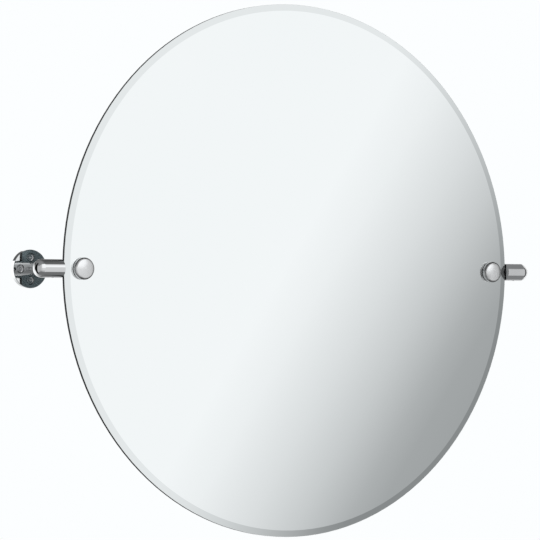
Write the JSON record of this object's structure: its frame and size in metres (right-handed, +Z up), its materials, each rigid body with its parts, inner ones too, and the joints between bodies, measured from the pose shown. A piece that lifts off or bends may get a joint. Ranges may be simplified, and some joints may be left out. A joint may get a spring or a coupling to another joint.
{
  "type": "pivot wall mirror",
  "caption": "Frameless round bevelled mirror that tilts between chrome wall brackets, held by domed buttons on horizontal pivots",
  "frame": {"origin": "on the wall plane, midway between the two brackets, at the height of the pivot axis", "axes": "+X to the viewer's right along the pivot axis, +Y into the wall, so the mirror faces -Y, +Z up"},
  "size_m": [0.669, 0.0983, 0.6],
  "materials": {
    "mirror_glass": "silvered, polished, bevelled edge",
    "backing_paint": "dark grey protective paint, matt",
    "chrome_flange": "bright chrome plate on brass",
    "chrome_post": "bright chrome plate on brass",
    "chrome_barrel": "bright chrome plate on brass",
    "chrome_button": "bright chrome plate on brass",
    "wall_screw_steel": "stainless steel, turned heads",
    "screw_steel": "zinc-plated steel",
    "spindle_steel": "turned and milled stainless steel",
    "zinc_steel": "zinc-plated steel",
    "black_steel": "black oxide steel",
    "nylon": "black nylon",
    "clear_gasket": "clear soft PVC",
    "rubber_gasket": "black rubber"
  },
  "bodies": {
    "wall_brackets": {"left_wall_flange": "chrome_flange", "right_wall_flange": "chrome_flange", "left_wall_screws": "wall_screw_steel", "right_wall_screws": "wall_screw_steel", "left_post": "chrome_post", "right_post": "chrome_post", "left_post_screw": "screw_steel", "right_post_screw": "screw_steel", "left_barrel": "chrome_barrel", "right_barrel": "chrome_barrel", "left_inner_bush": "nylon", "right_inner_bush": "nylon", "left_outer_bush": "nylon", "right_outer_bush": "nylon", "left_friction_pad": "nylon", "right_friction_pad": "nylon", "left_tension_screw": "black_steel", "right_tension_screw": "black_steel"},
    "mirror": {"mirror_glass": "mirror_glass", "mirror_backing": "backing_paint", "left_spindle": "spindle_steel", "right_spindle": "spindle_steel", "left_button": "chrome_button", "right_button": "chrome_button", "left_front_washer": "clear_gasket", "right_front_washer": "clear_gasket", "left_glass_sleeve": "clear_gasket", "right_glass_sleeve": "clear_gasket", "left_rear_washer": "rubber_gasket", "right_rear_washer": "rubber_gasket", "left_lock_washer": "zinc_steel", "right_lock_washer": "zinc_steel", "left_clamp_screw": "screw_steel", "right_clamp_screw": "screw_steel"}
  },
  "joints": [
    {"name": "mirror_tilt", "type": "hinge", "parent": "wall_brackets", "child": "mirror", "pos_m": [0, -0.05, 0], "axis": [1, 0, 0], "range_deg": [-9.5, 9.5]}
  ]
}
